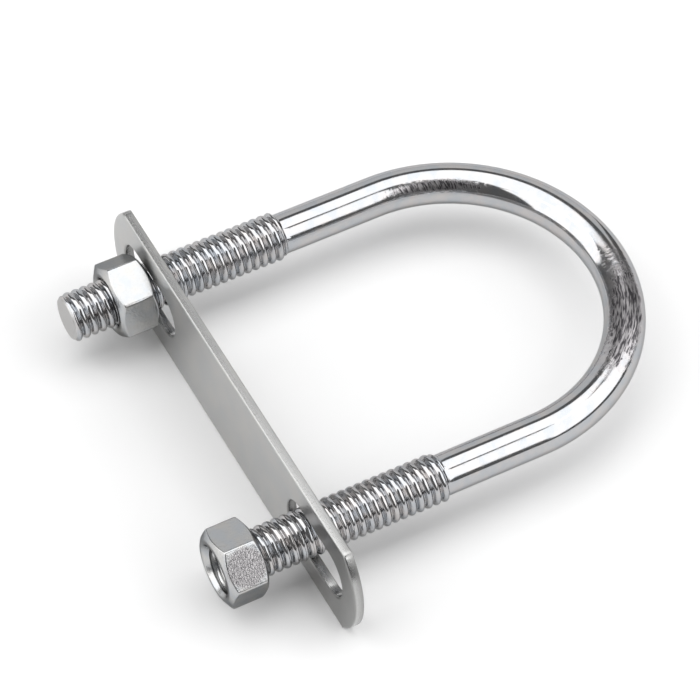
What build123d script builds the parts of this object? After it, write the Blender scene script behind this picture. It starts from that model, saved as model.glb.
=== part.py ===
"""U-bolt with a slotted strap plate and two hexagon nuts, zinc-plated steel, 5/16-18 UNC.

Millimetres. The bolt's U lies in the XY plane: the bend is centred on the origin with its crown
towards +X, the two legs run along -X at y = +leg_spacing/2 and y = -leg_spacing/2, and Z is
normal to the U. The plate and both nuts are in the places they have on the legs as assembled.
"""
import os
from math import radians, tan

from build123d import *

os.makedirs("parts", exist_ok=True)

# Thread: 5/16-18 UNC, drawn as a cylinder over its rolled crests
thread_major = 7.85

# Bolt
shank_diameter = 6.6       # unthreaded rod, reduced to the rolling blank's size
inside_width = 46.9        # clear space between the bare legs
inside_height = 77.55      # leg ends to the inside of the crown
bare_leg = 17.6            # straight unthreaded leg between bend and thread
thread_lead_in = 0.9       # cone between the bare rod and the thread
leg_end_chamfer = 0.7
front_leg_short = 1.2      # the front leg ends this much sooner, deep in its nut
leg_spacing = inside_width + shank_diameter
bend_radius = leg_spacing / 2
leg_length = inside_height - inside_width / 2
thread_radius = thread_major / 2

# Strap plate
plate_width = 18.5
plate_thickness = 1.6
plate_end_radius = 12.8
plate_edge_round = 0.25
slot_play = 0.85           # slot width over the thread
slot_straight = 8.9        # between the centres of a slot's round ends
slot_offset = 1.15         # slot centre outside the leg's centre
end_land = 4.25            # metal left between a slot and the plate's tip
leg_through_plate = 15.55  # leg end to the face that bears on the clamped work
plate_shift = -2.0         # the slots let the plate sit off the middle of the legs
slot_width = thread_major + slot_play
slot_length = slot_straight + slot_width
slot_spacing = leg_spacing + 2 * slot_offset
plate_length = slot_spacing + slot_length + 2 * end_land
plate_inner_face = leg_length - leg_through_plate

# Nuts
nut_flats = 11.4
nut_height = 6.6
nut_chamfer_circle = 0.88 * nut_flats
nut_chamfer_angle = 30
nut_corner_round = 0.5
thread_clearance = 0.1     # radial, nut bore over the thread crests
bore_countersink = 0.45 * (nut_chamfer_circle / 2 - thread_major / 2 - thread_clearance)
rear_nut_gap = 0.35        # plate to the nut's face
front_nut_gap = 8.5
rear_nut_turn = 21.4       # a corner's angle from +Y about the leg
front_nut_turn = 46.1
rear_nut_seat = plate_inner_face + plate_thickness + rear_nut_gap
front_nut_seat = plate_inner_face + plate_thickness + front_nut_gap

# ---------------------------------------------------------------- U-bolt
with BuildPart() as u_bolt:
    with BuildLine() as rod_path:
        Line((-bare_leg, leg_spacing / 2), (0, leg_spacing / 2))
        ThreePointArc((0, leg_spacing / 2), (bend_radius, 0), (0, -leg_spacing / 2))
        Line((0, -leg_spacing / 2), (-bare_leg, -leg_spacing / 2))
    with BuildSketch(Plane((-bare_leg, leg_spacing / 2, 0), x_dir=(0, 1, 0), z_dir=(1, 0, 0))):
        Circle(shank_diameter / 2)
    sweep()
    for side, leg_end in ((1, leg_length), (-1, leg_length - front_leg_short)):
        thread_length = leg_end - bare_leg
        with BuildSketch(Plane.XY.shift_origin((-leg_end, side * leg_spacing / 2, 0))):
            Polygon((0, 0), (0, thread_radius - leg_end_chamfer), (leg_end_chamfer, thread_radius),
                    (thread_length - thread_lead_in, thread_radius),
                    (thread_length, shank_diameter / 2), (thread_length, 0), align=None)
        revolve(axis=Axis((-leg_end, side * leg_spacing / 2, 0), (1, 0, 0)))
u_bolt.part.label = "u_bolt"
export_step(u_bolt.part, "parts/u_bolt.step")

# ---------------------------------------------------------------- strap plate
with BuildPart() as strap_plate:
    tip = plate_length / 2
    corner = tip - plate_end_radius + (plate_end_radius**2 - (plate_width / 2) ** 2) ** 0.5
    half_width = plate_width / 2
    with BuildSketch(Plane((-plate_inner_face, plate_shift, 0), x_dir=(0, 1, 0), z_dir=(-1, 0, 0))):
        with BuildLine():
            Line((-corner, half_width), (corner, half_width))
            ThreePointArc((corner, half_width), (tip, 0), (corner, -half_width))
            Line((corner, -half_width), (-corner, -half_width))
            ThreePointArc((-corner, -half_width), (-tip, 0), (-corner, half_width))
        make_face()
    extrude(amount=plate_thickness)
    rim = strap_plate.faces().sort_by(Axis.X)[0].edges() + strap_plate.faces().sort_by(Axis.X)[-1].edges()
    fillet(rim, radius=plate_edge_round)
    with BuildSketch(Plane((-plate_inner_face, plate_shift, 0), x_dir=(0, 1, 0), z_dir=(-1, 0, 0))):
        with GridLocations(slot_spacing, 0, 2, 1):
            SlotOverall(slot_length, slot_width)
    extrude(amount=plate_thickness, mode=Mode.SUBTRACT)
strap_plate.part.label = "strap_plate"
export_step(strap_plate.part, "parts/strap_plate.step")

# ---------------------------------------------------------------- nuts
cone_edge = nut_chamfer_circle / 2
cone_drop = (nut_flats - cone_edge) * tan(radians(nut_chamfer_angle))
nuts = {
    "rear_nut": (rear_nut_seat, leg_spacing / 2, rear_nut_turn),
    "front_nut": (front_nut_seat, -leg_spacing / 2, front_nut_turn),
}
for name, (seat, leg_y, turn) in nuts.items():
    outer_face = (-seat - nut_height, leg_y, 0)
    across_leg = Plane(outer_face, x_dir=(0, 1, 0), z_dir=(1, 0, 0))
    with BuildPart() as nut:
        with BuildSketch(across_leg):
            RegularPolygon(nut_flats / 2, 6, major_radius=False, rotation=turn)
        extrude(amount=nut_height)
        fillet(nut.edges().filter_by(Axis.X), radius=nut_corner_round)
        with BuildSketch(Plane.XY.shift_origin(outer_face)):
            Polygon((0, 0), (0, cone_edge), (cone_drop, nut_flats), (nut_height - cone_drop, nut_flats),
                    (nut_height, cone_edge), (nut_height, 0), align=None)
        revolve(axis=Axis(outer_face, (1, 0, 0)), mode=Mode.INTERSECT)
        with BuildSketch(across_leg):
            Circle(thread_radius + thread_clearance)
        extrude(amount=nut_height, mode=Mode.SUBTRACT)
        bore_mouths = nut.edges().filter_by(
            lambda edge: edge.geom_type == GeomType.CIRCLE and edge.radius < cone_edge - bore_countersink)
        chamfer(bore_mouths, length=bore_countersink)
    nut.part.label = name
    export_step(nut.part, f"parts/{name}.step")
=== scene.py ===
"""Zinc-plated U-bolt with a slotted strap plate and two hexagon nuts, 5/16-18 UNC.

Lengths are in millimetres until a mesh is made, which turns them to metres. Bump distances, the
lights and the floor are in metres. The U lies in the XY plane with the bend's centre at the origin,
the crown towards +X and the legs along -X.
"""

import bmesh
import bpy
import numpy as np
from mathutils import Matrix, Vector


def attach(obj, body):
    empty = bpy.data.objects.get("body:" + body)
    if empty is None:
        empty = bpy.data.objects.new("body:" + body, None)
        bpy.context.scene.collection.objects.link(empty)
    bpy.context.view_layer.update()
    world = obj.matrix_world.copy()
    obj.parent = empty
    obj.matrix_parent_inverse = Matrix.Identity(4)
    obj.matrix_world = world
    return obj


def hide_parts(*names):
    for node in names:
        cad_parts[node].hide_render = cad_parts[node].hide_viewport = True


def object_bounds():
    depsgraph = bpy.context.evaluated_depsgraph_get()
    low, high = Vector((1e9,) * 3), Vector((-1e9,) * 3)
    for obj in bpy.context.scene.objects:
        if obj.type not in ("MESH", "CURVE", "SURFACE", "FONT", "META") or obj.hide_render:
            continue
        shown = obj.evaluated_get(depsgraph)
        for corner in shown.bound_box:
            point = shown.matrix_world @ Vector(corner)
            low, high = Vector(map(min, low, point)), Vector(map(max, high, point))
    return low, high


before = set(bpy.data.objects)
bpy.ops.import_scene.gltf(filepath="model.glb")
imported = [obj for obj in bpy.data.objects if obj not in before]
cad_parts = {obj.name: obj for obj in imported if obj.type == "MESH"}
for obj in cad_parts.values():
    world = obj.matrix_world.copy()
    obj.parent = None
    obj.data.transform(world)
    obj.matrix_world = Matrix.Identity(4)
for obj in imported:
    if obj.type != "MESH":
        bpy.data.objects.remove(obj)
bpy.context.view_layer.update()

# ---------------------------------------------------------------- the bolt
# One length of low-carbon steel rod, its two ends rolled with a 5/16-18 UNC thread and then bent
# round into a U. Rolling pushes the crests out past the bare rod and leaves them round and shiny.
# The whole bolt is barrel-plated with bright zinc after bending.

MM = 0.001
pitch = 25.4 / 18
thread_radius = 7.85 / 2
thread_depth = 0.66
shank_radius = 3.3
leg_spacing = 53.5
bend_radius = leg_spacing / 2
bare_leg = 16.8
leg_end_rounding = 0.5
leg_end_dish = 0.06
thread_runout = 0.5 * pitch
columns = 84
straight_steps = 18
bend_steps = 112
# Each leg's end, the radius of its end rim, and where a crest crosses the side towards +Y
legs = {
    "rear": {"y": leg_spacing / 2, "end": 54.1, "end_radius": 3.4, "crest": -18.97},
    "front": {"y": -leg_spacing / 2, "end": 52.9, "end_radius": 3.2, "crest": -18.50},
}

# One pitch of the rolled thread, from crest to crest: how far along the pitch, and how deep
thread_form = np.array([
    (0.000, 0.000), (0.070, 0.018), (0.140, 0.064), (0.210, 0.143), (0.270, 0.255), (0.330, 0.445),
    (0.380, 0.663), (0.420, 0.838), (0.460, 0.960), (0.500, 1.000), (0.540, 0.960), (0.580, 0.838),
    (0.620, 0.663), (0.670, 0.445), (0.730, 0.255), (0.790, 0.143), (0.860, 0.064), (0.930, 0.018),
])


def helix_rows(x_low, x_high, crest, angles):
    """Rows of points that follow the thread's helix past both ends of a stretch of leg.

    Along the leg a point is at crest + pitch * (turn + step within the pitch + angle / 2 pi), which
    is a right-hand helix about +X. Returns that place and the depth of the thread form there."""
    lead = angles / (2 * np.pi)
    first = int(np.floor((x_low - crest) / pitch - lead.max())) - 1
    last = int(np.ceil((x_high - crest) / pitch - lead.min())) + 1
    steps = (np.arange(first, last)[:, None] + thread_form[:, 0]).ravel()
    depths = np.tile(thread_form[:, 1], last - first)
    along = crest + pitch * (steps[:, None] + lead)
    return along, np.broadcast_to(depths[:, None], along.shape)


def helix_faces(rows, around, first_index=0):
    """Quads of a helical grid: the last column meets the first one a whole pitch further on."""
    row, column = np.meshgrid(np.arange(rows - 1), np.arange(around), indexing="ij")
    shift = np.where(column == around - 1, len(thread_form), 0)
    keep = (row + 1 + shift) < rows
    row, column, shift = row[keep], column[keep], shift[keep]
    beside = (column + 1) % around
    return first_index + np.stack([
        row * around + column,
        (row + shift) * around + beside,
        (row + 1 + shift) * around + beside,
        (row + 1) * around + column,
    ], 1)


def ring_faces(rows, around, first_index=0):
    """Quads of a plain tube grid, each row a closed ring."""
    row, column = np.meshgrid(np.arange(rows - 1), np.arange(around), indexing="ij")
    row, column = row.ravel(), column.ravel()
    beside = (column + 1) % around
    return first_index + np.stack([
        row * around + column, row * around + beside,
        (row + 1) * around + beside, (row + 1) * around + column,
    ], 1)


def metal_piece(name, points, faces, attributes=None, merge=0.0004):
    """Makes a closed mesh from points in millimetres: equal points are merged, faces that shrink to
    nothing go, and normals are turned outwards. Attributes are vectors stored on the points."""
    mesh = bpy.data.meshes.new(name)
    mesh.from_pydata(points * MM, [], faces)
    for key, values in (attributes or {}).items():
        layer = mesh.attributes.new(key, "FLOAT_VECTOR", "POINT")
        layer.data.foreach_set("vector", np.ascontiguousarray(values, dtype=np.float32).ravel())
    work = bmesh.new()
    work.from_mesh(mesh)
    bmesh.ops.remove_doubles(work, verts=work.verts, dist=merge * MM)
    bmesh.ops.recalc_face_normals(work, faces=work.faces)
    work.to_mesh(mesh)
    work.free()
    mesh.shade_smooth()
    piece = bpy.data.objects.new(name, mesh)
    bpy.context.scene.collection.objects.link(piece)
    return piece


around_rod = 2 * np.pi * np.arange(columns) / columns
bolt_points, bolt_faces, rod_places = [], [], []


def add_to_bolt(x, y, z, faces, straightened):
    """Adds a grid of bolt points, its quads and the same points on the rod before it was bent."""
    first = sum(len(block) for block in bolt_points)
    bolt_points.append(np.stack([x.ravel(), y.ravel(), z.ravel()], 1))
    bolt_faces.append(faces + first)
    rod_places.append(straightened.reshape(-1, 3))


def smooth_step(t):
    """0 below t = 0 and 1 above t = 1, with the cubic 3 t^2 - 2 t^3 between."""
    t = np.clip(t, 0, 1)
    return t * t * (3 - 2 * t)


half_bend = np.pi * bend_radius / 2
for leg in legs.values():
    leg_end, leg_end_radius = leg["end"], leg["end_radius"]
    # threaded leg: the form fades into the bare rod over the run-out, and into the end's rim
    along, depth = helix_rows(-leg_end, -bare_leg, leg["crest"], around_rod)
    inside = np.clip(along, -leg_end, -bare_leg)
    fade = smooth_step((-bare_leg - inside) / thread_runout)
    formed = thread_radius - thread_depth * depth
    radius = shank_radius + (formed - shank_radius) * fade
    rounding = smooth_step((inside + leg_end) / leg_end_rounding)
    radius = leg_end_radius + (radius - leg_end_radius) * rounding
    angle = np.broadcast_to(around_rod, along.shape)
    across, up = radius * np.cos(angle), radius * np.sin(angle)
    outwards = np.sign(leg["y"])
    rod_place = np.stack([across * outwards, up, outwards * (inside - half_bend)], -1)
    add_to_bolt(inside, leg["y"] + across, up, helix_faces(len(along), columns), rod_place)

    # end face: rings from the rim to a point at the middle, slightly dished by the cropping
    share = np.array([1.0, 0.97, 0.8, 0.5, 0.2, 0.0])[:, None]
    dish = leg_end_dish * (1 - share**2)
    across = leg_end_radius * share * np.cos(around_rod)
    up = leg_end_radius * share * np.sin(around_rod)
    x = np.broadcast_to(-leg_end + dish, across.shape)
    rod_place = np.stack([across * outwards, up, outwards * (x - half_bend)], -1)
    add_to_bolt(x, leg["y"] + across, up, ring_faces(len(share), columns), rod_place)

# bare rod: a circle carried along the straight legs and the half-round bend
straight = np.linspace(0, bare_leg, straight_steps + 1)
turn = np.linspace(0, np.pi, bend_steps + 1)
path_x = np.concatenate([-bare_leg + straight, bend_radius * np.sin(turn[1:]), -straight[1:]])
path_y = np.concatenate([
    np.full(straight_steps + 1, bend_radius), bend_radius * np.cos(turn[1:]),
    np.full(straight_steps, -bend_radius)])
path_turn = np.concatenate([np.zeros(straight_steps + 1), turn[1:], np.full(straight_steps, np.pi)])
distance = np.concatenate([
    -half_bend - bare_leg + straight, -half_bend + bend_radius * turn[1:], half_bend + straight[1:]])
across = shank_radius * np.cos(around_rod)
up = np.broadcast_to(shank_radius * np.sin(around_rod), (len(path_x), columns))
x = path_x[:, None] + np.sin(path_turn)[:, None] * across
y = path_y[:, None] + np.cos(path_turn)[:, None] * across
rod_place = np.stack([
    np.broadcast_to(across, x.shape), up, np.broadcast_to(distance[:, None], x.shape)], -1)
# the columns of the front leg run the other way round, so the ring points meet them in place
add_to_bolt(x, y, up, ring_faces(len(path_x), columns), rod_place)

bolt = metal_piece(
    "bolt_rod", np.concatenate(bolt_points), np.concatenate(bolt_faces),
    {"rod_place": np.concatenate(rod_places)})


def linear(hex_colour):
    """An sRGB hex colour as linear red, green, blue and 1."""
    parts = np.array([int(hex_colour[i:i + 2], 16) / 255 for i in (1, 3, 5)])
    line = np.where(parts <= 0.04045, parts / 12.92, ((parts + 0.055) / 1.055) ** 2.4)
    return (*line.tolist(), 1.0)


def add_node(tree, kind, inputs=None, **settings):
    """Adds a node, sets its properties, and fills its inputs with values or links."""
    node = tree.nodes.new(kind)
    for key, value in settings.items():
        setattr(node, key, value)
    for key, value in (inputs or {}).items():
        if isinstance(value, bpy.types.NodeSocket):
            tree.links.new(value, node.inputs[key])
        else:
            node.inputs[key].default_value = value
    return node


def new_metal(name):
    """A material whose only shader is a Principled one, fully metallic."""
    material = bpy.data.materials.new(name)
    material.use_nodes = True
    tree = material.node_tree
    shader = tree.nodes["Principled BSDF"]
    shader.inputs["Metallic"].default_value = 1.0
    return material, tree, shader


# Bright zinc plating over drawn rod: a mirror a little dulled, grey with faint warm and cool clouds
# from the passivation. Two places that the bending tool gripped are crinkled and rubbed matt, and
# their furrows are painted dark grey, which is painted shade.
# Each mark is its middle and half size in straightened-rod places, then the size of one furrow and
# how far the furrows lean from the rod's length, in radians. The clouds are some 2 mm across and the
# ragged edges of the marks 1 mm.
tool_marks = [
    ((-2.4, 2.3, -32.0), (1.1, 1.0, 9.5), (1.2, 1.2, 0.22), 0.6),
    ((0.3, 3.0, 15.5), (3.3, 2.2, 13.0), (0.2, 0.2, 1.7), 0.0),
]
zinc_rod, tree, shader = new_metal("bright_zinc_on_rolled_rod")
rod_place = add_node(tree, "ShaderNodeAttribute", attribute_name="rod_place").outputs["Vector"]
clouds = add_node(
    tree, "ShaderNodeTexNoise", {"Vector": rod_place, "Scale": 0.45, "Detail": 3.0}).outputs["Fac"]
cloud_share = add_node(
    tree, "ShaderNodeMapRange", {"Value": clouds, "From Min": 0.35, "From Max": 0.65}).outputs["Result"]
colour = add_node(
    tree, "ShaderNodeMix", {"Factor": cloud_share, "A": linear("#B2B5B9"), "B": linear("#BEBBBA")},
    data_type="RGBA").outputs["Result"]
ragged = add_node(
    tree, "ShaderNodeTexNoise", {"Vector": rod_place, "Scale": 1.1, "Detail": 4.0}).outputs["Fac"]
marked, mark_height = 0.0, 0.0
for middle, half_size, furrow, lean in tool_marks:
    offset = add_node(tree, "ShaderNodeVectorMath", {0: rod_place, 1: middle}, operation="SUBTRACT")
    sized = add_node(
        tree, "ShaderNodeVectorMath", {0: offset.outputs[0], 1: half_size}, operation="DIVIDE")
    away = add_node(tree, "ShaderNodeVectorMath", {0: sized.outputs[0]}, operation="LENGTH")
    torn = add_node(tree, "ShaderNodeMath", {0: away.outputs["Value"], 1: ragged}, operation="ADD")
    inside_mark = add_node(
        tree, "ShaderNodeMapRange",
        {"Value": torn.outputs[0], "From Min": 1.6, "From Max": 1.15}).outputs["Result"]
    marked = add_node(
        tree, "ShaderNodeMath", {0: marked, 1: inside_mark}, operation="MAXIMUM").outputs[0]
    grained = add_node(
        tree, "ShaderNodeMapping", {"Vector": rod_place, "Rotation": (0, lean, 0), "Scale": furrow},
        vector_type="TEXTURE")
    furrows = add_node(
        tree, "ShaderNodeTexNoise", {"Vector": grained.outputs[0], "Scale": 1.0, "Detail": 3.0})
    mark_height = add_node(
        tree, "ShaderNodeMath", {0: furrows.outputs["Fac"], 1: inside_mark, 2: mark_height},
        operation="MULTIPLY_ADD").outputs[0]
# the furrows of the tool marks are painted dark grey: painted shade over the crinkles
furrow_painted_shade = add_node(
    tree, "ShaderNodeMapRange",
    {"Value": mark_height, "From Min": 0.42, "From Max": 0.56}).outputs["Result"]
rubbed = add_node(
    tree, "ShaderNodeMix", {"Factor": marked, "A": colour, "B": linear("#B4B1B3")},
    data_type="RGBA").outputs["Result"]
with_furrow_painted_shade = add_node(
    tree, "ShaderNodeMix", {"Factor": furrow_painted_shade, "A": rubbed, "B": linear("#525053")},
    data_type="RGBA").outputs["Result"]
# the ends of the legs are sheared, and paler and duller than the rolled rod
sheared_from, sheared_full = 0.25, 0.1
from_crown = add_node(tree, "ShaderNodeSeparateXYZ", {"Vector": rod_place}).outputs["Z"]
sheared = 0.0
for leg in legs.values():
    rod_end, outwards = half_bend + leg["end"], np.sign(leg["y"])
    near_end = add_node(tree, "ShaderNodeMapRange", {
        "Value": from_crown,
        "From Min": -outwards * (rod_end - sheared_from),
        "From Max": -outwards * (rod_end - sheared_full)})
    sheared = add_node(
        tree, "ShaderNodeMath", {0: sheared, 1: near_end.outputs["Result"]},
        operation="MAXIMUM").outputs[0]
finished = add_node(
    tree, "ShaderNodeMix", {"Factor": sheared, "A": with_furrow_painted_shade, "B": linear("#C4C3C2")},
    data_type="RGBA").outputs["Result"]
tree.links.new(finished, shader.inputs["Base Color"])
rough = add_node(tree, "ShaderNodeMapRange", {
    "Value": ragged, "From Min": 0.3, "From Max": 0.7, "To Min": 0.07, "To Max": 0.14})
rough_marked = add_node(
    tree, "ShaderNodeMapRange", {"Value": marked, "To Min": rough.outputs["Result"], "To Max": 0.3})
rough_sheared = add_node(
    tree, "ShaderNodeMapRange",
    {"Value": sheared, "To Min": rough_marked.outputs["Result"], "To Max": 0.5})
tree.links.new(rough_sheared.outputs["Result"], shader.inputs["Roughness"])
# drawing lines run along the rod; the real ones are some 0.05 mm apart, and these are 0.3 mm
drawn = add_node(
    tree, "ShaderNodeVectorMath", {0: rod_place, 1: (3.0, 3.0, 0.12)}, operation="MULTIPLY")
lines = add_node(
    tree, "ShaderNodeTexNoise", {"Vector": drawn.outputs[0], "Scale": 1.0, "Detail": 2.0})
along_bump = add_node(
    tree, "ShaderNodeBump", {"Height": lines.outputs["Fac"], "Strength": 0.5, "Distance": 0.000006})
mark_bump = add_node(tree, "ShaderNodeBump", {
    "Height": mark_height, "Strength": 1.0, "Distance": 0.00004, "Normal": along_bump.outputs["Normal"]})
tree.links.new(mark_bump.outputs["Normal"], shader.inputs["Normal"])
shader.inputs["Specular Tint"].default_value = linear("#CCCCCC")
bolt.data.materials.append(zinc_rod)
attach(bolt, "bolt")
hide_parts("u_bolt")

# ---------------------------------------------------------------- strap plate
# A strip of 1.6 mm mild steel, blanked with rounded ends and punched with two slots for the legs.
# The punch leaves its outer face's rims rolled over and the inner face's rims nearly square.

plate_outer_face = -40.15
plate_inner_face = -38.55
plate_middle = -2.0
plate_half_length = 40.94
plate_half_width = 9.25
plate_end_radius = 12.8
slot_radius = 4.35
slot_middle = 27.9
slot_half_straight = 4.45
roll_width = 1.5
touching = 1e-6


def half_plate_columns():
    """Lines that run from a slot's edge to the rim of half a plate, as start, direction and finish.

    Starts go round the slot: two straights, each square to the plate's long edges, and two half
    circles of rays. A ray ends where it first meets a long edge, the end arc or the middle line."""
    outer_end, inner_end = slot_middle + slot_half_straight, slot_middle - slot_half_straight
    arc_middle = plate_half_length - plate_end_radius
    arc_corner = arc_middle + np.sqrt(plate_end_radius**2 - plate_half_width**2)
    corner_ray = np.arctan2(plate_half_width, arc_corner - outer_end)
    middle_ray = np.pi - np.arctan2(plate_half_width, inner_end)
    rays_to_corner, rays_to_tip, rays_to_edge, rays_to_middle, rays_on_straight = 8, 16, 16, 6, 8
    quarter = np.concatenate([
        np.linspace(np.pi / 2, corner_ray, rays_to_corner, endpoint=False),
        np.linspace(corner_ray, 0, rays_to_tip, endpoint=False)])
    far = np.concatenate([quarter, [0], -quarter[::-1]])
    inward = np.concatenate([
        np.linspace(np.pi / 2, middle_ray, rays_to_edge, endpoint=False),
        np.linspace(middle_ray, np.pi, rays_to_middle, endpoint=False)])
    near = np.concatenate([-inward, [-np.pi], inward[::-1]])
    straight = np.linspace(0, 1, rays_on_straight + 2)[1:-1]
    start_u = np.concatenate([
        np.full(len(far), outer_end), outer_end + (inner_end - outer_end) * straight,
        np.full(len(near), inner_end), inner_end + (outer_end - inner_end) * straight])
    angle = np.concatenate([
        far, np.full(len(straight), -np.pi / 2), near, np.full(len(straight), np.pi / 2)])
    ray_u, ray_z = np.cos(angle), np.sin(angle)
    nearly_zero = 1e-9
    with np.errstate(divide="ignore", invalid="ignore"):
        to_edge = np.where(np.abs(ray_z) > nearly_zero, plate_half_width / np.abs(ray_z), np.inf)
        to_middle = np.where(ray_u < -nearly_zero, start_u / -ray_u, np.inf)
    lean = (start_u - arc_middle) * ray_u
    gap = (start_u - arc_middle) ** 2 - plate_end_radius**2
    to_arc = np.where(ray_u > nearly_zero, -lean + np.sqrt(lean**2 - gap), np.inf)
    reach = np.minimum(np.minimum(to_edge, to_middle), to_arc)
    rim_u, rim_z = start_u + ray_u * reach, ray_z * reach
    on_arc = rim_u > arc_corner - touching
    on_edge = np.abs(np.abs(rim_z) - plate_half_width) < touching
    normal_u = np.where(on_arc, (rim_u - arc_middle) / plate_end_radius, 0.0)
    normal_z = np.where(on_arc, rim_z / plate_end_radius, 0.0) + np.where(on_edge, np.sign(rim_z), 0.0)
    length = np.hypot(normal_u, normal_z)
    has_rim = length > 0
    length[~has_rim] = 1.0
    slot_u, slot_z = start_u + ray_u * slot_radius, ray_z * slot_radius
    return (
        np.stack([slot_u, slot_z], 1), np.stack([ray_u, ray_z], 1), np.stack([rim_u, rim_z], 1),
        np.stack([normal_u / length, normal_z / length], 1), has_rim)


def face_rings(slot_round, rim_round, rim_roll):
    """Rings of points from the slot's wall over one face to the rim's wall, as flat place and depth.

    Each round is a quarter circle. Over the last roll_width the face falls away by rim_roll times
    the square of how near the rim it is."""
    slot_edge, ray, rim_edge, rim_normal, has_rim = half_plate_columns()
    flat, depth = [], []
    for turn in np.radians((0, 22, 45, 68, 90)):
        flat.append(slot_edge + ray * slot_round * (1 - np.cos(turn)))
        depth.append(np.full(len(ray), slot_round * (1 - np.sin(turn))))
    inner = slot_edge + ray * slot_round
    outer = rim_edge - rim_normal * roll_width * has_rim[:, None]
    for share in (0.12, 0.3, 0.5, 0.7, 0.88):
        flat.append(inner + (outer - inner) * share)
        depth.append(np.zeros(len(ray)))
    for inset in (roll_width, 1.1, 0.75, 0.5):
        flat.append(rim_edge - rim_normal * inset * has_rim[:, None])
        depth.append(rim_roll * ((roll_width - inset) / roll_width) ** 2 * has_rim)
    for turn in np.radians((90, 68, 45, 22, 0)):
        flat.append(rim_edge - rim_normal * (rim_round * (1 - np.cos(turn)) * has_rim)[:, None])
        depth.append((rim_roll + rim_round * (1 - np.sin(turn))) * has_rim)
    return np.array(flat), np.array(depth)


plate_points, plate_faces = [], []
outer_flat, outer_depth = face_rings(slot_round=0.35, rim_round=0.3, rim_roll=0.05)
inner_flat, inner_depth = face_rings(slot_round=0.15, rim_round=0.15, rim_roll=0.02)
for end in (1, -1):
    loop = np.concatenate([outer_flat, inner_flat[::-1]])
    x = np.concatenate([plate_outer_face + outer_depth, plate_inner_face - inner_depth[::-1]])
    y = plate_middle + end * loop[:, :, 0]
    rings, around = x.shape
    first = sum(len(block) for block in plate_points)
    plate_points.append(np.stack([x, y, loop[:, :, 1]], -1).reshape(-1, 3))
    # the slot's wall joins the last ring to the first, and the two halves meet with no wall between
    column, last_ring = np.arange(around), (rings - 1) * around
    beside = (column + 1) % around
    slot_wall = np.stack([column, beside, last_ring + beside, last_ring + column], 1)
    grid = np.concatenate([ring_faces(rings, around), slot_wall])
    on_middle = np.abs(plate_points[-1][:, 1] - plate_middle) < touching
    grid = grid[~on_middle[grid].all(1)]
    plate_faces.append(grid + first)

plate_xyz = np.concatenate(plate_points)
face_depth = np.minimum(plate_xyz[:, 0] - plate_outer_face, plate_inner_face - plate_xyz[:, 0])
wall_from, wall_blend = 0.1, 0.25
cut_wall = smooth_step((face_depth - wall_from) / wall_blend)
plate = metal_piece(
    "strap_plate_blank", plate_xyz, np.concatenate(plate_faces),
    {"cut_wall": np.stack([cut_wall] * 3, 1)})
plate.modifiers.new("face_weighted_normals", "WEIGHTED_NORMAL").keep_sharp = True

# Satin zinc plating over mill-finished strip: mid grey and a little cloudy, with fine scratches
# along the strip. Towards the front end the faces are painted a darker grey, which is painted shade.
# The cut edges are smoother and shinier, and scuffed, mostly near the rear end. The clouds are some
# 4.5 mm across and the scuffs 0.4 mm. Real scratches are too fine to show, so these are drawn 0.25 mm
# apart and 4 mm long.
zinc_strip, tree, shader = new_metal("satin_zinc_on_strip")
in_metres = add_node(tree, "ShaderNodeTexCoord").outputs["Object"]
place = add_node(
    tree, "ShaderNodeVectorMath", {0: in_metres, "Scale": 1 / MM}, operation="SCALE").outputs[0]
wall = add_node(tree, "ShaderNodeAttribute", attribute_name="cut_wall").outputs["Fac"]
clouds = add_node(
    tree, "ShaderNodeTexNoise", {"Vector": place, "Scale": 0.22, "Detail": 4.0}).outputs["Fac"]
cloud_share = add_node(
    tree, "ShaderNodeMapRange", {"Value": clouds, "From Min": 0.35, "From Max": 0.65}).outputs["Result"]
face_colour = add_node(
    tree, "ShaderNodeMix", {"Factor": cloud_share, "A": linear("#ACADAD"), "B": linear("#B5B4B2")},
    data_type="RGBA").outputs["Result"]
along_strip = add_node(tree, "ShaderNodeSeparateXYZ", {"Vector": place}).outputs["Y"]
# the faces turn darker grey towards the front end: painted shade
front_end_painted_shade = add_node(
    tree, "ShaderNodeMapRange",
    {"Value": along_strip, "From Min": -30.0, "From Max": -38.0}).outputs["Result"]
face_with_painted_shade = add_node(
    tree, "ShaderNodeMix", {"Factor": front_end_painted_shade, "A": face_colour, "B": linear("#929291")},
    data_type="RGBA").outputs["Result"]
edge_colour = add_node(
    tree, "ShaderNodeMix", {"Factor": wall, "A": face_with_painted_shade, "B": linear("#B7B7B6")},
    data_type="RGBA").outputs["Result"]
scuffs = add_node(
    tree, "ShaderNodeTexNoise", {"Vector": place, "Scale": 2.6, "Detail": 3.0}).outputs["Fac"]
scuffed = add_node(
    tree, "ShaderNodeMapRange", {"Value": scuffs, "From Min": 0.56, "From Max": 0.64}).outputs["Result"]
rear_end = add_node(tree, "ShaderNodeMapRange", {
    "Value": along_strip, "From Min": 18.0, "From Max": 34.0, "To Min": 0.1, "To Max": 0.7})
scuff_share = add_node(
    tree, "ShaderNodeMath", {0: scuffed, 1: rear_end.outputs["Result"]}, operation="MULTIPLY").outputs[0]
wall_scuffs = add_node(
    tree, "ShaderNodeMath", {0: scuff_share, 1: wall}, operation="MULTIPLY").outputs[0]
colour = add_node(
    tree, "ShaderNodeMix", {"Factor": wall_scuffs, "A": edge_colour, "B": linear("#68696B")},
    data_type="RGBA").outputs["Result"]
tree.links.new(colour, shader.inputs["Base Color"])
rough = add_node(tree, "ShaderNodeMapRange", {
    "Value": clouds, "From Min": 0.3, "From Max": 0.7, "To Min": 0.31, "To Max": 0.38})
rough_wall = add_node(
    tree, "ShaderNodeMapRange", {"Value": wall, "To Min": rough.outputs["Result"], "To Max": 0.2})
tree.links.new(rough_wall.outputs["Result"], shader.inputs["Roughness"])
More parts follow.
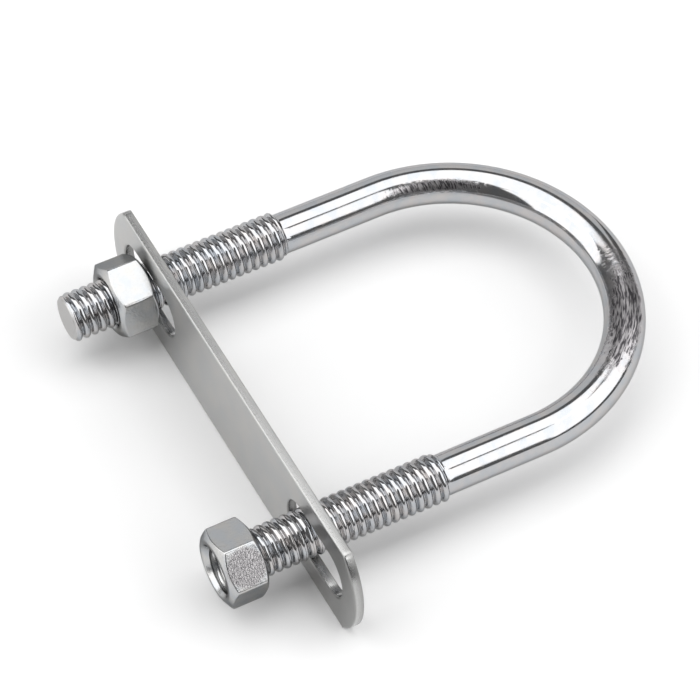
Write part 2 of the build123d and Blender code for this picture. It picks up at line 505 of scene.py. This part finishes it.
brushed = add_node(
    tree, "ShaderNodeVectorMath", {0: place, 1: (4.0, 0.25, 4.0)}, operation="MULTIPLY")
scratches = add_node(
    tree, "ShaderNodeTexNoise", {"Vector": brushed.outputs[0], "Scale": 1.0, "Detail": 3.0})
scratch_bump = add_node(
    tree, "ShaderNodeBump", {"Height": scratches.outputs["Fac"], "Strength": 0.6, "Distance": 0.000012})
scuff_bump = add_node(tree, "ShaderNodeBump", {
    "Height": wall_scuffs, "Strength": 0.7, "Distance": 0.00003,
    "Normal": scratch_bump.outputs["Normal"]})
tree.links.new(scuff_bump.outputs["Normal"], shader.inputs["Normal"])
plate.data.materials.append(zinc_strip)
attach(plate, "plate")
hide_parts("strap_plate")

# ---------------------------------------------------------------- nuts
# Two 5/16-18 UNC hexagon nuts, cold-formed from steel and tapped, chamfered on both faces, so that
# each flat ends in two arcs. They are barrel-plated with bright zinc.

nut_flats = 11.4
nut_height = 6.6
nut_chamfer_circle = 0.88 * nut_flats
nut_chamfer_slope = np.tan(np.radians(30))
nut_corner_round = 0.5
nut_edge_round = 0.16
thread_gap = 0.07
nut_bore_least = 3.32
countersink_width = 0.4
countersink_radius = thread_radius + countersink_width
# Each nut's leg, its face towards the plate, and a corner's angle from +Y about the leg in degrees
nuts = {
    "rear": {"y": leg_spacing / 2, "seat": 40.5, "turn": 21.4, "body": "rear_nut"},
    "front": {"y": -leg_spacing / 2, "seat": 48.65, "turn": 46.1, "body": "front_nut"},
}
# Angles from one corner to the next, closest together round the corner's own rounding
sector = np.radians((0, 0.9, 1.8, 2.8, 4.2, 6.5, 9.5, 13.5, 18, 23, 28))
sector = np.concatenate([sector, np.radians(60) - sector[:0:-1]])
around_nut = (np.radians(60) * np.arange(6)[:, None] + sector).ravel()


def hexagon_radius(from_corner):
    """How far a hexagon with rounded corners reaches at an angle from a corner: the flat's distance
    over the cosine of the angle from its middle, or the corner's arc where that is nearer."""
    a = np.abs((from_corner + np.pi / 6) % (np.pi / 3) - np.pi / 6)
    flat = nut_flats / 2 / np.cos(np.pi / 6 - a)
    arc_middle = (nut_flats / 2 - nut_corner_round) / np.cos(np.pi / 6)
    under_root = np.maximum(nut_corner_round**2 - (arc_middle * np.sin(a)) ** 2, 0)
    arc = arc_middle * np.cos(a) + np.sqrt(under_root)
    tangent = np.arctan2(nut_corner_round / 2, arc_middle + nut_corner_round * np.cos(np.pi / 6))
    return np.where(a < tangent, arc, flat)


def soften(corners, cut):
    """Rows of points along a profile whose inner corners are rounded: each corner becomes a
    quadratic curve from cut before it to cut after it. corners is corner, column, (x, radius)."""
    rows = [corners[0]]
    for before, corner, after in zip(corners[:-2], corners[1:-1], corners[2:]):
        into = (before - corner) / np.linalg.norm(before - corner, axis=1, keepdims=True)
        out = (after - corner) / np.linalg.norm(after - corner, axis=1, keepdims=True)
        for t in (0.0, 0.25, 0.5, 0.75, 1.0):
            rows.append(corner + cut * (into * (1 - t) ** 2 + out * t**2))
    rows.append(corners[-1])
    return np.array(rows)


# Bright zinc plating on a cold-formed nut: shiny grey, with dents some 0.5 mm across from tumbling
# in the barrel and clouds of 2 mm. One flat of the front nut is crazed all over, where its plating
# went on thick, with cells of 0.4 mm.
crazed_flat = np.radians(nuts["front"]["turn"] + 90)
crazed_middle = (
    -nuts["front"]["seat"] - nut_height / 2, nuts["front"]["y"] + nut_flats / 2 * np.cos(crazed_flat),
    nut_flats / 2 * np.sin(crazed_flat))
zinc_nut, tree, shader = new_metal("bright_zinc_on_nut")
in_metres = add_node(tree, "ShaderNodeTexCoord").outputs["Object"]
place = add_node(
    tree, "ShaderNodeVectorMath", {0: in_metres, "Scale": 1 / MM}, operation="SCALE").outputs[0]
clouds = add_node(
    tree, "ShaderNodeTexNoise", {"Vector": place, "Scale": 0.5, "Detail": 3.0}).outputs["Fac"]
cloud_share = add_node(
    tree, "ShaderNodeMapRange", {"Value": clouds, "From Min": 0.35, "From Max": 0.65}).outputs["Result"]
away = add_node(
    tree, "ShaderNodeVectorMath", {0: place, 1: crazed_middle}, operation="DISTANCE").outputs["Value"]
crazed = add_node(
    tree, "ShaderNodeMapRange", {"Value": away, "From Min": 3.3, "From Max": 2.7}).outputs["Result"]
colour = add_node(
    tree, "ShaderNodeMix", {"Factor": cloud_share, "A": linear("#B5B8BB"), "B": linear("#C0BFBD")},
    data_type="RGBA").outputs["Result"]
crazing = add_node(
    tree, "ShaderNodeTexVoronoi", {"Vector": place, "Scale": 2.6, "Randomness": 0.8},
    feature="DISTANCE_TO_EDGE").outputs["Distance"]
crack = add_node(tree, "ShaderNodeMapRange", {
    "Value": crazing, "From Max": 0.1, "To Min": 1.0, "To Max": 0.0}).outputs["Result"]
crack_depth = add_node(tree, "ShaderNodeMath", {0: crack, 1: crazed}, operation="MULTIPLY").outputs[0]
greyed = add_node(
    tree, "ShaderNodeMix", {"Factor": crazed, "A": colour, "B": linear("#ADABAC")},
    data_type="RGBA").outputs["Result"]
cracked = add_node(
    tree, "ShaderNodeMix", {"Factor": crack_depth, "A": greyed, "B": linear("#827F82")},
    data_type="RGBA").outputs["Result"]
tree.links.new(cracked, shader.inputs["Base Color"])
rough = add_node(tree, "ShaderNodeMapRange", {
    "Value": clouds, "From Min": 0.3, "From Max": 0.7, "To Min": 0.17, "To Max": 0.27})
tree.links.new(rough.outputs["Result"], shader.inputs["Roughness"])
tumbled = add_node(
    tree, "ShaderNodeTexNoise", {"Vector": place, "Scale": 1.8, "Detail": 5.0, "Roughness": 0.6})
tumble_bump = add_node(
    tree, "ShaderNodeBump", {"Height": tumbled.outputs["Fac"], "Strength": 0.6, "Distance": 0.00004})
crack_bump = add_node(tree, "ShaderNodeBump", {
    "Height": crack_depth, "Strength": 0.7, "Distance": -0.00003,
    "Normal": tumble_bump.outputs["Normal"]})
tree.links.new(crack_bump.outputs["Normal"], shader.inputs["Normal"])
shader.inputs["Specular Tint"].default_value = linear("#909090")

for side, nut in nuts.items():
    low, high = -nut["seat"] - nut_height, -nut["seat"]
    angle = around_nut + np.radians(nut["turn"])
    reach = hexagon_radius(around_nut)
    chamfer_end = (reach - nut_chamfer_circle / 2) * nut_chamfer_slope
    ones = np.ones_like(reach)
    corners = np.array([
        np.stack([low * ones, countersink_radius * ones], 1),
        np.stack([low * ones, nut_chamfer_circle / 2 * ones], 1),
        np.stack([low + chamfer_end, reach], 1),
        np.stack([high - chamfer_end, reach], 1),
        np.stack([high * ones, nut_chamfer_circle / 2 * ones], 1),
        np.stack([high * ones, countersink_radius * ones], 1),
    ])
    outside = soften(corners, nut_edge_round)
    outside_x, outside_radius = outside[:, :, 0], outside[:, :, 1]
    # bore: the bolt's own thread form, a little larger, with its inner crests cut flat by the drill
    along, depth = helix_rows(low, high, legs[side]["crest"], angle)
    bore_x = np.clip(along, low, high)
    bore_radius = np.maximum(thread_radius - thread_depth * depth + thread_gap, nut_bore_least)
    from_face = np.minimum(bore_x - low, high - bore_x)
    bore_radius = np.maximum(bore_radius, countersink_radius - from_face)
    x = np.concatenate([outside_x, bore_x])
    radius = np.concatenate([outside_radius, bore_radius])
    y, z = nut["y"] + radius * np.cos(angle), radius * np.sin(angle)
    points = np.stack([x, y, z], -1).reshape(-1, 3)
    faces = np.concatenate([
        ring_faces(len(outside), len(angle)),
        helix_faces(len(along), len(angle), outside_x.size)])
    piece = metal_piece(f"hex_nut_{side}", points, faces)
    piece.modifiers.new("face_weighted_normals", "WEIGHTED_NORMAL").keep_sharp = True
    piece.data.materials.append(zinc_nut)
    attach(piece, nut["body"])
    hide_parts(nut["body"])

# ---------------------------------------------------------------- camera, light and floor
# A white laminate table under a large overhead panel, with one panel low on each side and a dim
# card behind. The lens is long, so the two legs look nearly parallel.

view_azimuth, view_elevation, view_roll = np.radians((-28.62, 51.80, 0.94))
view_distance = 644.5
view_target = Vector((-17.81, 0.89, 0.17)) * MM
back = Vector((
    np.sin(view_azimuth) * np.cos(view_elevation),
    -np.cos(view_azimuth) * np.cos(view_elevation),
    np.sin(view_elevation)))
right = Vector((0, 0, 1)).cross(back).normalized()
top = back.cross(right)
right, top = (
    right * np.cos(view_roll) + top * np.sin(view_roll),
    top * np.cos(view_roll) - right * np.sin(view_roll))
lens = bpy.data.cameras.new("camera")
lens.sensor_width = 36.0
lens.lens = 213.8
camera = bpy.data.objects.new("camera", lens)
camera.matrix_world = (
    Matrix.Translation(view_target + back * view_distance * MM)
    @ Matrix((right, top, back)).transposed().to_4x4())
bpy.context.scene.collection.objects.link(camera)
bpy.context.scene.camera = camera
bpy.context.scene.view_settings.view_transform = "Standard"


def soft_panel(name, azimuth, elevation, distance, width, height, brightness):
    """A rectangular area light facing the object from azimuth (from +X towards +Y) and elevation.
    Its power gives the same brightness whatever its size: pi times area times radiance."""
    light = bpy.data.lights.new(name, "AREA")
    light.shape = "RECTANGLE"
    light.size, light.size_y = width, height
    light.energy = np.pi * width * height * brightness
    a, e = np.radians((azimuth, elevation))
    towards = Vector((np.cos(a) * np.cos(e), np.sin(a) * np.cos(e), np.sin(e)))
    panel = bpy.data.objects.new(name, light)
    panel.matrix_world = (
        Matrix.Translation(towards * distance) @ towards.to_track_quat("Z", "Y").to_matrix().to_4x4())
    bpy.context.scene.collection.objects.link(panel)
    return panel


# the overhead panel is set square to the legs, with its middle 0.3 m towards the rear leg's side
ceiling = soft_panel("overhead_panel", 90, 90, 1.6, 1.9, 1.49, 1.95)
ceiling.matrix_world = Matrix.Translation((0.0, 0.315, 1.6))
soft_panel("right_panel", -33, 37, 1.8, 2.65, 1.75, 1.95)
soft_panel("left_panel", 164, 31, 1.8, 1.9, 2.15, 1.95)
soft_panel("back_card", 68, 17, 1.8, 2.2, 1.3, 0.7)

world = bpy.data.worlds.new("studio")
world.use_nodes = True
world.node_tree.nodes["Background"].inputs["Color"].default_value = (1, 1, 1, 1)
world.node_tree.nodes["Background"].inputs["Strength"].default_value = 0.15
bpy.context.scene.world = world

floor_mesh = bpy.data.meshes.new("floor")
floor_reach = 6.0
floor_gap = 0.00002
floor_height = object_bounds()[0].z - floor_gap
floor_mesh.from_pydata(
    [(-floor_reach, -floor_reach, floor_height), (floor_reach, -floor_reach, floor_height),
     (floor_reach, floor_reach, floor_height), (-floor_reach, floor_reach, floor_height)],
    [], [(0, 1, 2, 3)])
floor = bpy.data.objects.new("floor", floor_mesh)
bpy.context.scene.collection.objects.link(floor)
table_top = bpy.data.materials.new("white_laminate_table")
table_top.use_nodes = True
table_shader = table_top.node_tree.nodes["Principled BSDF"]
table_shader.inputs["Base Color"].default_value = linear("#EEEEEE")
table_shader.inputs["Roughness"].default_value = 0.8
floor_mesh.materials.append(table_top)
